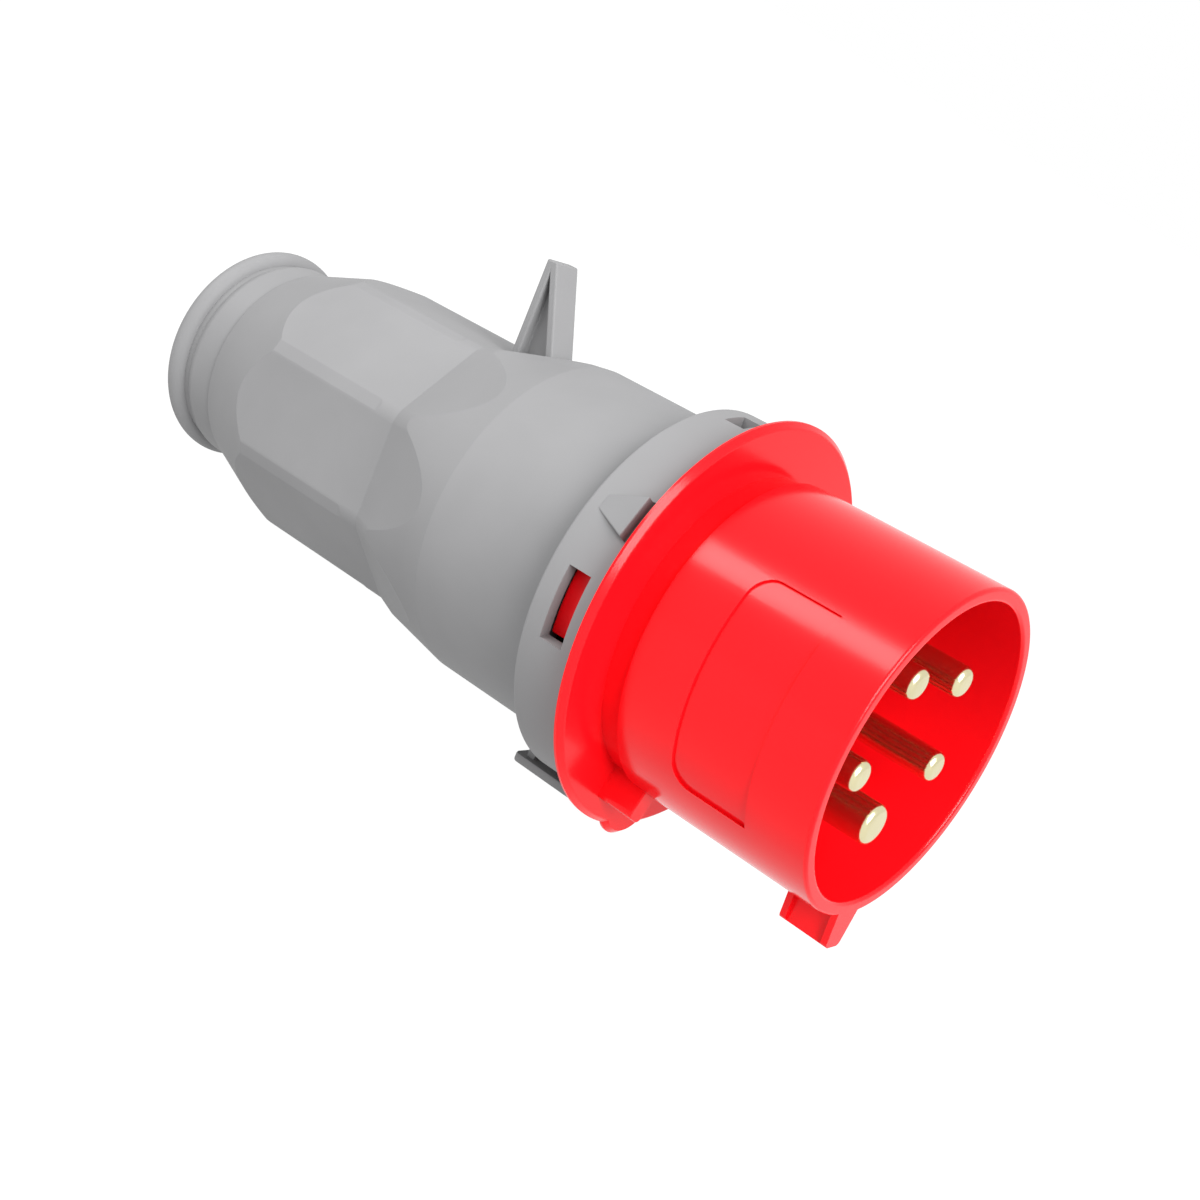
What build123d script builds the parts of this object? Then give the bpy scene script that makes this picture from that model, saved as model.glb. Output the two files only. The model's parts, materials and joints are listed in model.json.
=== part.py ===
from build123d import *
from math import asin, atan2, cos, degrees, hypot, radians, sin
import os

# Industrial pin and sleeve plug: five pins inside a red sleeve, and a grey housing behind it.
# Lengths are in millimetres. The plug is built on its own axis and laid down at the end:
# +X runs forward out of the sleeve, x = 0 is the plane of the sleeve's front rim, +Z is up,
# and an angle about the axis runs from +Y towards +Z.

# Clearances, and how far a cutter or a root runs past the face it meets
running_gap = 0.05
slip_gap = 0.1
body_gap = 0.3
overrun = 1.0

# Sleeve, neck and flange, one red moulding
sleeve_radius = 32.0
sleeve_wall = 2.7
sleeve_length = 42.0
rim_round = 0.5
neck_step = 1.0
neck_length = 4.5
flange_overhang = 3.5
flange_thickness = 1.5
flange_round = 1.4
base_thickness = 5.0

# Rest lobe and lug on the flange, and the keying rib under the rim
lobe_angle = -95.0
lobe_rise = 2.0
lobe_round = 8.0
lobe_blend = 4.0
lug_angle = -113.0
lug_height = 6.4
lug_width = 4.5
lug_length = 8.0
lug_round = 1.2
key_angle = -90.0
key_height = 6.6
key_length = 10.5
key_root_width = 7.4
key_tip_width = 4.8
key_end_plate = 1.3
key_web_inset = 0.7
key_round = 1.0

# Label field, a shallow recess in the near side of the sleeve
label_angle = 180.0
label_rear_x = -29.3
label_front_x = -13.0
label_height = 39.6
label_depth = 0.5
label_corner = 4.0

# Skirt and snap fingers that the housing's collar slides over
skirt_wall = 2.4
skirt_length = 3.4
finger_length = 10.0
finger_height = 0.6
side_window_half_angle = 10.5
side_window_angles = (0.0, 180.0)
seal_thickness = 1.8
seal_from_flange = 1.7

# Pins, on a circle, with a terminal barrel behind the base
pin_circle_radius = 15.4
pin_recess = 2.1
pin_exposed_length = 38.0
pin_tip_round = 0.9
line_pin_radius = 3.0
earth_pin_radius = 4.0
pin_shoulder = 0.4
pin_angles = {"earth": -90.0, "line_1": -18.0, "line_2": 54.0, "line_3": 126.0, "neutral": 198.0}
barrel_radius = 5.2
wire_bore_radius = 2.7
wire_bore_depth = 12.0

# Contact carrier and its central screw
carrier_length = 17.0
carrier_front_wall = 2.0
barrel_overhang = 2.0
centre_screw_radius = 2.0
centre_screw_head_radius = 3.6
centre_screw_head_height = 2.6
centre_screw_bite = 3.4

# Terminal screws, one across each barrel
terminal_screw_radius = 1.95
terminal_head_radius = 2.5
terminal_head_height = 3.6
terminal_from_barrel_end = 6.0
terminal_screw_lift = 2.4
screw_slot_width = 0.8
screw_slot_depth = 1.0

# Cable clamp: a saddle on two posts, a bar and two screws
cable_radius = 10.5
saddle_length = 12.0
saddle_half_width = 19.0
saddle_from_carrier = 17.9
saddle_top = -3.0
saddle_bottom = -17.0
post_radius = 2.4
post_circle_radius = 17.0
post_angles = (-54.0, -126.0)
clamp_opening = 6.0
clamp_bar_thickness = 4.0
clamp_bar_length = 10.0
clamp_arch_wall = 2.5
clamp_screw_spacing = 30.0
clamp_screw_radius = 1.95
clamp_head_radius = 3.5
clamp_head_height = 2.6
clamp_screw_reach = 11.0

# Housing, one grey moulding: collar, barrel body, octagonal grip and threaded spigot
collar_step = 4.6
collar_length = 13.2
collar_wall = 2.5
collar_step_wall = 2.5
collar_round = 0.6
housing_wall = 2.6
body_radius = 33.4
body_length = 30.5
cone_length = 27.0
grip_radius = 29.3
grip_apothem = 27.6
grip_sides = 8
grip_edge_round = 5.0
grip_length = 30.5
flat_front_from_body = 21.5
facet_tip = 2.0
facet_run_out = 5.0
tail_length = 19.1
tail_radius = 23.0
side_window_from_flange = 4.3
side_window_length = 5.0
top_window_angle = 99.5
top_window_half_angle = 4.75
top_window_from_flange = 5.0
top_window_length = 4.4

# Fin on top of the housing that a socket's lid catches on
fin_rear_from_body = 20.3
fin_height_from_axis = 47.9
fin_tip_length = 2.5
fin_base_length = 9.8
fin_base_height = 31.0
fin_width = 7.0
fin_frame = 1.7
fin_web = 2.4
fin_foot = 20.0

# Pointer ramp on the collar
pointer_angle = 151.0
pointer_from_flange = 2.0
pointer_length = 8.5
pointer_rear_width = 3.0
pointer_front_width = 8.6
pointer_height = 1.6
pointer_slot = 0.8
pointer_slot_depth = 0.8

# Release latch under the collar, on a cross pin with a torsion spring
latch_half_width = 11.0
latch_length = 17.3
latch_pivot_from_flange = 5.0
latch_pivot_drop = 0.8
latch_thickness = 1.8
latch_knuckle_radius = 1.5
latch_pocket_depth = 1.4
latch_lug_half_width = 4.4
latch_lug_inner = 2.0
latch_pin_radius = 0.9
latch_pin_half_length = 8.6
latch_lip_from_rear = 2.0
latch_lip_length = 2.0
latch_lip_height = 2.2
latch_corner = 1.5
spring_wire = 0.25
spring_coil_radius = 1.35
spring_turns = 3.75
spring_pitch = 0.8
spring_leg = 3.6
spring_leg_tilt = 6.0

# Cable gland at the rear: nut with a rolled bead, slip washer and rubber seal
bead_radius = 2.3
bead_ring_radius = 21.5
bead_from_tail = 12.0
nut_neck_step = 0.5
nut_neck_length = 7.0
nut_groove_depth = 0.8
nut_groove_run = 1.3
spigot_radius = 19.0
spigot_bore = 16.2
spigot_length = 9.9
gland_seat_bore = 13.2
gland_seat_thickness = 2.6
gland_nut_bore = 13.0
gland_nut_lip = 3.2
seal_bore = 11.0
washer_thickness = 1.2
washer_bore = 12.4

# Places that follow from the sizes above
neck_radius = sleeve_radius - neck_step
lug_reach = neck_radius + lug_height
key_reach = sleeve_radius + key_height
collar_radius = body_radius + collar_step
flange_radius = collar_radius + flange_overhang
lobe_reach = flange_radius + lobe_rise
flange_front_x = -(sleeve_length + neck_length)
flange_rear_x = flange_front_x - flange_thickness
base_front_x = -(pin_recess + pin_exposed_length)
base_rear_x = base_front_x - base_thickness
collar_bore = collar_radius - collar_wall
finger_radius = collar_bore - body_gap
skirt_radius = finger_radius - finger_height
skirt_bore = skirt_radius - skirt_wall
collar_front_x = flange_rear_x - body_gap
collar_rear_x = collar_front_x - collar_length
body_rear_x = collar_rear_x - body_length
cone_rear_x = body_rear_x - cone_length
grip_rear_x = cone_rear_x - grip_length
tail_x = grip_rear_x - tail_length
spigot_end_x = tail_x - spigot_length
bead_x = tail_x - bead_from_tail
carrier_radius = neck_radius - sleeve_wall - body_gap
carrier_rear_x = base_rear_x - carrier_length
barrel_front_x = base_rear_x - carrier_front_wall
barrel_rear_x = carrier_rear_x - barrel_overhang
terminal_screw_x = barrel_rear_x + terminal_from_barrel_end
saddle_front_x = carrier_rear_x - saddle_from_carrier
saddle_rear_x = saddle_front_x - saddle_length
saddle_middle_x = (saddle_front_x + saddle_rear_x) / 2
clamp_bar_bottom = saddle_top + clamp_opening
pointer_front_x = flange_rear_x - pointer_from_flange
pointer_rear_x = pointer_front_x - pointer_length
latch_pivot_x = flange_rear_x - latch_pivot_from_flange
latch_rear_x = latch_pivot_x - latch_length
latch_pivot_z = -(collar_radius + latch_pivot_drop)
latch_pocket_z = -(collar_radius - latch_pocket_depth)


def turned(*outline):
    """A solid of revolution about the plug's axis, from its (x, radius) corners."""
    return revolve(make_face(Polyline(*outline, close=True)), Axis.X)


def ring(front_x, rear_x, radius, bore=0.0):
    """A plain ring or disc between two planes across the axis."""
    return turned((front_x, bore), (front_x, radius), (rear_x, radius), (rear_x, bore))


def sector(front_x, rear_x, radius, bore, angle, half_angle):
    """A piece of a ring, centred on an angle about the axis."""
    outline = Polyline((front_x, bore), (front_x, radius), (rear_x, radius), (rear_x, bore), close=True)
    return Rot(angle - half_angle, 0, 0) * revolve(make_face(outline), Axis.X, 2 * half_angle)


def round_bar(radius, rear_x, front_x, y=0.0, z=0.0):
    """A round bar along the axis direction."""
    return Pos((rear_x + front_x) / 2, y, z) * Rot(0, 90, 0) * Cylinder(radius, front_x - rear_x)


def block(x_range, y_range, z_range):
    """A box given by its two limits on each axis."""
    spans = (x_range, y_range, z_range)
    middle = [(low + high) / 2 for low, high in spans]
    return Pos(*middle) * Box(*[abs(high - low) for low, high in spans])


def around(angle, radius):
    """The y and z of a point on a circle about the axis."""
    return radius * cos(radians(angle)), radius * sin(radians(angle))


def contact_sleeve():
    """The red moulding: sleeve, base, neck, flange, lobe, lug, key, skirt and snap fingers."""
    sleeve = ring(0, -sleeve_length, sleeve_radius)
    sleeve = fillet(sleeve.edges().filter_by(GeomType.CIRCLE).sort_by(Axis.X)[-1], rim_round)
    neck = ring(-sleeve_length, flange_front_x, neck_radius)
    disc = Circle(flange_radius) + Pos(*around(lobe_angle, lobe_reach - lobe_round)) * Circle(lobe_round)
    flange = extrude(Plane.YZ.offset(flange_rear_x) * disc, flange_thickness)
    flange = fillet(flange.edges().filter_by(Axis.X).sort_by(Axis.Z)[:2], lobe_blend)
    flange = fillet(flange.faces().sort_by(Axis.X)[-1].outer_wire().edges(), flange_round)
    skirt = ring(flange_rear_x, flange_rear_x - skirt_length, skirt_radius)
    body = sleeve + neck + flange + skirt + finger_ring() + keying_rib() + flange_lug()
    cavity = ring(0, base_front_x, sleeve_radius - sleeve_wall)
    carrier_seat = ring(base_rear_x, flange_rear_x, carrier_radius + body_gap)
    skirt_hollow = ring(flange_rear_x, flange_rear_x - finger_length, skirt_bore)
    body = body - cavity - carrier_seat - skirt_hollow - label_recess() - seal_groove()
    for name, angle in pin_angles.items():
        y, z = around(angle, pin_circle_radius)
        body -= round_bar(shank_radius(name) + running_gap, base_rear_x, base_front_x, y, z)
    pilot_x = base_rear_x + centre_screw_bite
    return body - round_bar(centre_screw_radius + running_gap, base_rear_x, pilot_x)


def finger_ring():
    """Snap fingers behind the flange, one for each side window of the collar."""
    rear_x = flange_rear_x - finger_length
    half_angle = side_window_half_angle - degrees(body_gap / skirt_radius)
    left, right = [sector(flange_rear_x, rear_x, finger_radius, skirt_bore, angle, half_angle)
                   for angle in side_window_angles]
    return left + right


def keying_rib():
    """The rib that lets the plug into its socket one way round."""
    root = sleeve_radius - sleeve_wall / 2
    outline = Polyline(
        (-key_root_width / 2, root), (key_root_width / 2, root),
        (key_tip_width / 2, key_reach), (-key_tip_width / 2, key_reach), close=True)
    face = make_face(outline)
    face = fillet(face.vertices().sort_by(Axis.Y)[-2:], key_round)
    rib = extrude(Plane.YZ.offset(-key_length) * face, key_length)
    web_length = (-key_length + key_end_plate, -key_end_plate)
    for side in (1, -1):
        far = side * key_root_width
        near = side * (key_tip_width / 2 - key_web_inset)
        rib -= block(web_length, (min(near, far), max(near, far)), (sleeve_radius, key_reach + overrun))
    return Rot(key_angle - 90, 0, 0) * rib


def flange_lug():
    """The small block in front of the flange, beside the key's line."""
    lug = block(
        (flange_front_x, flange_front_x + lug_length),
        (-lug_width / 2, lug_width / 2), (neck_radius - overrun, lug_reach))
    lug = fillet(lug.edges().filter_by(Axis.X).sort_by(Axis.Z)[-2:], lug_round)
    return Rot(lug_angle - 90, 0, 0) * lug


def label_recess():
    """The cutter of the label field, rounded at its rear corners and square in front."""
    band = ring(label_front_x, label_rear_x, sleeve_radius + overrun, sleeve_radius - label_depth)
    length = label_front_x - label_rear_x + label_corner
    field = RectangleRounded(length, label_height, label_corner)
    window = extrude(Plane.XZ * Pos(label_rear_x + length / 2, 0) * field, 2 * sleeve_radius)
    return Rot(label_angle - 180, 0, 0) * (band & window)


def seal_centre():
    """The x and radius of the housing seal's ring."""
    return flange_rear_x - seal_from_flange, finger_radius - seal_thickness / 2


def seal_groove():
    """Room for the housing seal in the skirt."""
    x, _ = seal_centre()
    half = seal_thickness / 2 + running_gap
    bottom = finger_radius - seal_thickness - running_gap
    return ring(x + half, x - half, finger_radius + overrun, bottom)


def housing_seal():
    """The rubber ring between the skirt and the collar."""
    x, radius = seal_centre()
    return revolve(make_face(Pos(x, radius) * CenterArc((0, 0), seal_thickness / 2, 0, 360)), Axis.X)


def pin_radius(name):
    """The earth pin is thicker than the others."""
    return earth_pin_radius if name == "earth" else line_pin_radius


def shank_radius(name):
    """A pin is a little thicker where it stands in the base."""
    return pin_radius(name) + pin_shoulder


def contact_pin(name):
    """One pin with its shank, terminal barrel, wire bore and screw hole."""
    y, z = around(pin_angles[name], pin_circle_radius)
    rod = Cylinder(pin_radius(name), -pin_recess - barrel_front_x)
    rod = fillet(rod.edges().sort_by(Axis.Z)[-1], pin_tip_round)
    rod = Pos((barrel_front_x - pin_recess) / 2, y, z) * Rot(0, 90, 0) * rod
    shank = round_bar(shank_radius(name), barrel_front_x, base_front_x, y, z)
    barrel = round_bar(barrel_radius, barrel_rear_x, barrel_front_x, y, z)
    wire_bore = round_bar(wire_bore_radius, barrel_rear_x, barrel_rear_x + wire_bore_depth, y, z)
    screw_hole = radial_bar(name, terminal_screw_radius + running_gap, pin_circle_radius, carrier_radius)
    return rod + shank + barrel - wire_bore - screw_hole


def radial_bar(name, radius, start, end):
    """A round bar across the axis, in line with one pin, between two distances from the axis."""
    bar = Pos(terminal_screw_x, 0, (start + end) / 2) * Cylinder(radius, end - start)
    return Rot(pin_angles[name] - 90, 0, 0) * bar


def terminal_screw(name):
    """The slotted screw that clamps a wire in its barrel, backed out to let the wire in."""
    tip = pin_circle_radius + wire_bore_radius + slip_gap
    under_head = pin_circle_radius + barrel_radius + terminal_screw_lift
    top = under_head + terminal_head_height
    screw = Pos(0, 0, (tip + under_head) / 2) * Cylinder(terminal_screw_radius, under_head - tip)
    screw += Pos(0, 0, (under_head + top) / 2) * Cylinder(terminal_head_radius, terminal_head_height)
    screw -= slot_cutter(terminal_head_radius, top)
    return Rot(pin_angles[name] - 90, 0, 0) * Pos(terminal_screw_x, 0, 0) * screw


def slot_cutter(head_radius, top):
    """The screwdriver slot across a head that faces +Z."""
    return block((-2 * head_radius, 2 * head_radius), (-screw_slot_width / 2, screw_slot_width / 2),
                 (top - screw_slot_depth, top + overrun))


def contact_carrier():
    """The insulating block that holds the barrels and guides the terminal screws."""
    carrier = ring(base_rear_x, carrier_rear_x, carrier_radius)
    head_room = terminal_head_radius + body_gap
    for name, angle in pin_angles.items():
        y, z = around(angle, pin_circle_radius)
        carrier -= round_bar(shank_radius(name) + running_gap, carrier_rear_x, base_rear_x, y, z)
        carrier -= round_bar(barrel_radius + slip_gap, carrier_rear_x, barrel_front_x, y, z)
        carrier -= radial_bar(name, head_room, pin_circle_radius, carrier_radius + overrun)
    carrier -= round_bar(centre_screw_radius + slip_gap, carrier_rear_x, base_rear_x)
    for y, z in post_places():
        carrier -= round_bar(post_radius, carrier_rear_x, carrier_rear_x + post_radius, y, z)
    return carrier


def centre_screw():
    """The screw that holds the carrier against the base."""
    shank = round_bar(centre_screw_radius, carrier_rear_x, base_rear_x + centre_screw_bite)
    head_rear_x = carrier_rear_x - centre_screw_head_height
    head = round_bar(centre_screw_head_radius, head_rear_x, carrier_rear_x)
    slot = block((head_rear_x - overrun, head_rear_x + screw_slot_depth),
                 (-screw_slot_width / 2, screw_slot_width / 2),
                 (-2 * centre_screw_head_radius, 2 * centre_screw_head_radius))
    return shank + head - slot


def post_places():
    """The y and z of the posts between carrier and saddle."""
    return [around(angle, post_circle_radius) for angle in post_angles]


def clamp_saddle():
    """The lower half of the cable clamp, on two posts from the carrier."""
    saddle = block((saddle_rear_x, saddle_front_x), (-saddle_half_width, saddle_half_width),
                   (saddle_bottom, saddle_top))
    for y, z in post_places():
        saddle += round_bar(post_radius, saddle_front_x, carrier_rear_x + post_radius, y, z)
    saddle -= round_bar(cable_radius, saddle_rear_x, saddle_front_x)
    for y in clamp_screw_places():
        saddle -= Pos(saddle_middle_x, y, saddle_bottom) * Cylinder(
            clamp_screw_radius + running_gap, 4 * cable_radius)
    return saddle


def clamp_screw_places():
    """The y of each clamp screw."""
    return (-clamp_screw_spacing / 2, clamp_screw_spacing / 2)


def clamp_bar():
    """The upper half of the cable clamp, at rest at the top of its travel."""
    half_length = clamp_bar_length / 2
    ends = (saddle_middle_x - half_length, saddle_middle_x + half_length)
    bar = block(ends, (-saddle_half_width, saddle_half_width),
                (clamp_bar_bottom, clamp_bar_bottom + clamp_bar_thickness))
    arch = round_bar(cable_radius + clamp_arch_wall, ends[0], ends[1])
    bar += arch & block(ends, (-saddle_half_width, saddle_half_width), (clamp_bar_bottom, 2 * cable_radius))
    bar -= round_bar(cable_radius, ends[0], ends[1])
    for y in clamp_screw_places():
        bar -= Pos(saddle_middle_x, y, clamp_bar_bottom) * Cylinder(
            clamp_screw_radius + body_gap, 2 * cable_radius)
    return bar


def clamp_screw(y):
    """A screw through the bar into the saddle."""
    under_head = clamp_bar_bottom + clamp_bar_thickness
    tip = saddle_top - clamp_screw_reach
    top = under_head + clamp_head_height
    screw = Pos(0, 0, (tip + under_head) / 2) * Cylinder(clamp_screw_radius, under_head - tip)
    screw += Pos(0, 0, (under_head + top) / 2) * Cylinder(clamp_head_radius, clamp_head_height)
    screw -= slot_cutter(clamp_head_radius, top)
    return Pos(saddle_middle_x, y, 0) * screw


def octagon(x, apothem):
    """The grip's section, with its corners rounded."""
    outline = RegularPolygon(apothem, grip_sides, major_radius=False, rotation=180 / grip_sides)
    return Plane.YZ.offset(x) * fillet(outline.vertices(), grip_edge_round)


def faceted_envelope():
    """What the housing's turned outside is cut down to: eight flats that flare out in front."""
    flat_front_x = body_rear_x - flat_front_from_body
    flare = (body_radius - grip_apothem) / (flat_front_from_body - facet_tip)
    beyond_body_x = body_rear_x + facet_run_out
    flared_apothem = grip_apothem + flare * (beyond_body_x - flat_front_x)
    behind_x = spigot_end_x - overrun
    prism = extrude(octagon(behind_x, grip_apothem), flat_front_x - behind_x)
    flared = loft([octagon(flat_front_x, grip_apothem), octagon(beyond_body_x, flared_apothem)])
    return prism + flared + ring(0, beyond_body_x, 2 * body_radius)


def housing_outside():
    """The turned and faceted outside of the housing."""
    outside = turned(
        (collar_front_x, 0), (collar_front_x, collar_radius), (collar_rear_x, collar_radius),
        (collar_rear_x, body_radius), (body_rear_x, body_radius), (cone_rear_x, grip_radius),
        (grip_rear_x, grip_radius), (tail_x, tail_radius), (tail_x, spigot_radius),
        (spigot_end_x, spigot_radius), (spigot_end_x, 0))
    collar_edges = outside.edges().filter_by(GeomType.CIRCLE).filter_by(
        lambda edge: abs(edge.radius - collar_radius) < 0.01)
    return fillet(collar_edges, collar_round) & faceted_envelope()


def housing_hollow():
    """The inside of the housing, open at the collar and narrow at the cable gland."""
    step_x = collar_rear_x + collar_step_wall
    body_bore = body_radius - housing_wall
    grip_bore = grip_apothem - housing_wall
    seat_front_x = tail_x + gland_seat_thickness
    return turned(
        (collar_front_x + overrun, 0), (collar_front_x + overrun, collar_bore), (step_x, collar_bore),
        (step_x, body_bore), (body_rear_x, body_bore), (cone_rear_x, grip_bore),
        (grip_rear_x, grip_bore), (seat_front_x, spigot_bore), (seat_front_x, gland_seat_bore),
        (tail_x, gland_seat_bore), (tail_x, spigot_bore),
        (spigot_end_x - overrun, spigot_bore), (spigot_end_x - overrun, 0))


def fin():
    """The hooked fin, with a web between its two faces."""
    rear_x = body_rear_x - fin_rear_from_body
    tip_x = rear_x + fin_tip_length
    base_x = rear_x + fin_base_length
    slope = (base_x - tip_x) / (fin_height_from_axis - fin_base_height)
    foot_x = base_x + slope * (fin_base_height - fin_foot)
    outline = [(rear_x, fin_foot), (rear_x, fin_height_from_axis), (tip_x, fin_height_from_axis),
               (foot_x, fin_foot)]
    front_inset = fin_frame * hypot(1, slope)
    peak = fin_height_from_axis - (fin_frame + front_inset - fin_tip_length) / slope
    pocket = side_plate(
        fin_width, (rear_x + fin_frame, fin_foot), (rear_x + fin_frame, peak),
        (foot_x - front_inset, fin_foot))
    return side_plate(fin_width, *outline) - pocket + side_plate(fin_web, *outline)


def side_plate(width, *outline):
    """A plate across the plug, from its (x, z) corners."""
    face = Plane.XZ * make_face(Polyline(*outline, close=True))
    return extrude(face, width / 2, both=True)


def pointer():
    """The ramp on the collar that points at the flange."""
    root = collar_radius - collar_wall / 2
    ramp = side_plate(
        pointer_front_width, (pointer_rear_x, root), (pointer_rear_x, collar_radius),
        (pointer_front_x, collar_radius + pointer_height), (pointer_front_x, root))
    plan = make_face(Polyline(
        (pointer_rear_x, -pointer_rear_width / 2), (pointer_front_x, -pointer_front_width / 2),
        (pointer_front_x, pointer_front_width / 2), (pointer_rear_x, pointer_rear_width / 2), close=True))
    return Rot(pointer_angle - 90, 0, 0) * (ramp & extrude(plan, 2 * collar_radius))


def pointer_slot_cutter():
    """The shallow slot in front of the pointer."""
    half = pointer_front_width / 2
    slot = block((pointer_front_x, pointer_front_x + pointer_slot), (-half, half),
                 (collar_radius - pointer_slot_depth, collar_radius + overrun))
    return Rot(pointer_angle - 90, 0, 0) * slot


def cross_bar(radius, half_length):
    """A round bar across the plug, on the latch's pivot."""
    return Pos(latch_pivot_x, 0, latch_pivot_z) * Rot(90, 0, 0) * Cylinder(radius, 2 * half_length)


def latch_bracket():
    """The housing's two knuckles that carry the latch pin, with the spring between them."""
    width = (-latch_lug_half_width, latch_lug_half_width)
    stem = block((latch_pivot_x - latch_knuckle_radius, latch_pivot_x + latch_knuckle_radius),
                 width, (latch_pivot_z, -collar_bore - collar_wall / 4))
    stem += cross_bar(latch_knuckle_radius, latch_lug_half_width)
    reach = latch_knuckle_radius + overrun
    return stem - block((latch_pivot_x - reach, latch_pivot_x + reach), (-latch_lug_inner, latch_lug_inner),
                        (latch_pivot_z - reach, latch_pocket_z))


def latch_pocket():
    """The flat under the collar that gives the latch room to move."""
    half = latch_half_width + body_gap
    return block((collar_rear_x - overrun, collar_front_x + overrun), (-half, half),
                 (latch_pocket_z, -collar_radius - overrun))


def latch_spring():
    """The torsion spring on the latch pin: one leg against the collar, the other over the plate."""
    turns = spring_turns - spring_leg_tilt / 360
    coil = Helix(spring_pitch, spring_pitch * turns, spring_coil_radius)
    up_leg = latch_pocket_z - latch_pivot_z - slip_gap
    path = Line(coil @ 0 - (coil % 0) * up_leg, coil @ 0) + coil
    path += Line(coil @ 1, coil @ 1 + (coil % 1) * spring_leg)
    wire = Plane(origin=path @ 0, z_dir=path % 0) * Circle(spring_wire)
    spring = Rot(90, 0, 0) * Rot(0, 0, 180) * sweep(wire, path=path)
    return Pos(latch_pivot_x, spring_pitch * turns / 2, latch_pivot_z) * spring


def rear_housing():
    """The grey moulding with collar, body, grip, fin, pointer, latch knuckle and spigot."""
    housing = housing_outside() + fin() - housing_hollow() - latch_pocket()
    housing = housing + pointer() + latch_bracket() - pointer_slot_cutter()
    for angle in side_window_angles:
        housing -= window(side_window_from_flange, side_window_length, angle, side_window_half_angle)
    housing -= window(top_window_from_flange, top_window_length, top_window_angle, top_window_half_angle)
    return housing - cross_bar(latch_pin_radius, latch_pin_half_length)


def window(from_flange, length, angle, half_angle):
    """The cutter of one window through the collar."""
    front_x = flange_rear_x - from_flange
    return sector(front_x, front_x - length, collar_radius + overrun, collar_bore - overrun, angle, half_angle)


def latch_pin():
    """The cross pin of the latch."""
    return cross_bar(latch_pin_radius, latch_pin_half_length)


def release_latch():
    """The latch lever: a plate under the collar with two knuckles, and a lip at its free end."""
    sides = (-latch_half_width, latch_half_width)
    plate_top = latch_pivot_z + latch_thickness / 2
    plate = block((latch_rear_x, flange_rear_x - body_gap), sides, (plate_top - latch_thickness, plate_top))
    plate = fillet(plate.edges().filter_by(Axis.Z).sort_by(Axis.X)[:2], latch_corner)
    lip_rear_x = latch_rear_x + latch_lip_from_rear
    plate += block((lip_rear_x, lip_rear_x + latch_lip_length),
                   (-latch_half_width + latch_corner, latch_half_width - latch_corner),
                   (plate_top, plate_top + latch_lip_height))
    plate += cross_bar(latch_knuckle_radius, latch_half_width - latch_corner)
    clear = latch_lug_half_width + body_gap
    reach = latch_knuckle_radius + body_gap
    plate -= block((latch_pivot_x - reach, latch_pivot_x + reach), (-clear, clear),
                   (latch_pivot_z - reach, latch_pivot_z + reach))
    return plate - cross_bar(latch_pin_radius + running_gap, latch_half_width)


def gland_seal():
    """The rubber sleeve that the nut squeezes round the cable."""
    return ring(tail_x, spigot_end_x + washer_thickness, spigot_bore - body_gap, seal_bore)


def gland_washer():
    """The slip washer between seal and nut."""
    return ring(spigot_end_x + washer_thickness, spigot_end_x, spigot_bore - body_gap, washer_bore)


def gland_nut():
    """The nut with the rolled bead, screwed on the spigot."""
    front_x = tail_x - slip_gap
    lip_front_x = spigot_end_x - body_gap
    rear_x = lip_front_x - gland_nut_lip
    shoulder_radius = tail_radius - nut_neck_step
    groove_radius = shoulder_radius - nut_groove_depth
    neck_rear_x = tail_x - nut_neck_length
    neck = turned(
        (front_x, 0), (front_x, shoulder_radius), (neck_rear_x, shoulder_radius),
        (neck_rear_x - nut_groove_run, groove_radius), (bead_x, groove_radius),
        (rear_x, bead_ring_radius), (rear_x, 0))
    bead = revolve(make_face(Pos(bead_x, bead_ring_radius) * CenterArc((0, 0), bead_radius, 0, 360)), Axis.X)
    thread = ring(front_x, lip_front_x, spigot_radius + slip_gap)
    entry = ring(front_x, rear_x, gland_nut_bore)
    return neck + bead - thread - entry


def resting_place(pieces):
    """The plug lies on its flange's lobe and on the gland's bead, nose up by the angle between them."""
    y, z = around(lobe_angle, lobe_reach - lobe_round)
    lobe_z = z - lobe_round
    run = flange_rear_x - bead_x
    rise = -bead_ring_radius - lobe_z
    tilt = degrees(atan2(rise, run) - asin(bead_radius / hypot(run, rise)))
    laid = Rot(0, -tilt, 0)
    box = Compound([laid * piece for piece in pieces]).bounding_box()
    middle = box.center()
    return Pos(-middle.X, -middle.Y, -box.min.Z) * laid


parts = {
    "contact_sleeve": contact_sleeve(),
    "contact_carrier": contact_carrier(),
    "centre_screw": centre_screw(),
    "housing_seal": housing_seal(),
    "clamp_saddle": clamp_saddle(),
    "clamp_bar": clamp_bar(),
    "rear_housing": rear_housing(),
    "release_latch": release_latch(),
    "latch_pin": latch_pin(),
    "latch_spring": latch_spring(),
    "gland_seal": gland_seal(),
    "gland_washer": gland_washer(),
    "gland_nut": gland_nut(),
}
for name in pin_angles:
    parts["pin_" + name] = contact_pin(name)
    parts["terminal_screw_" + name] = terminal_screw(name)
for side, y in zip(("right", "left"), clamp_screw_places()):
    parts["clamp_screw_" + side] = clamp_screw(y)

resting = resting_place(list(parts.values()))
os.makedirs("parts", exist_ok=True)
for name, piece in parts.items():
    export_step(resting * piece, os.path.join("parts", name + ".step"))
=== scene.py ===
import bpy
import bmesh
import json
import math
from mathutils import Matrix, Vector


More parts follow.
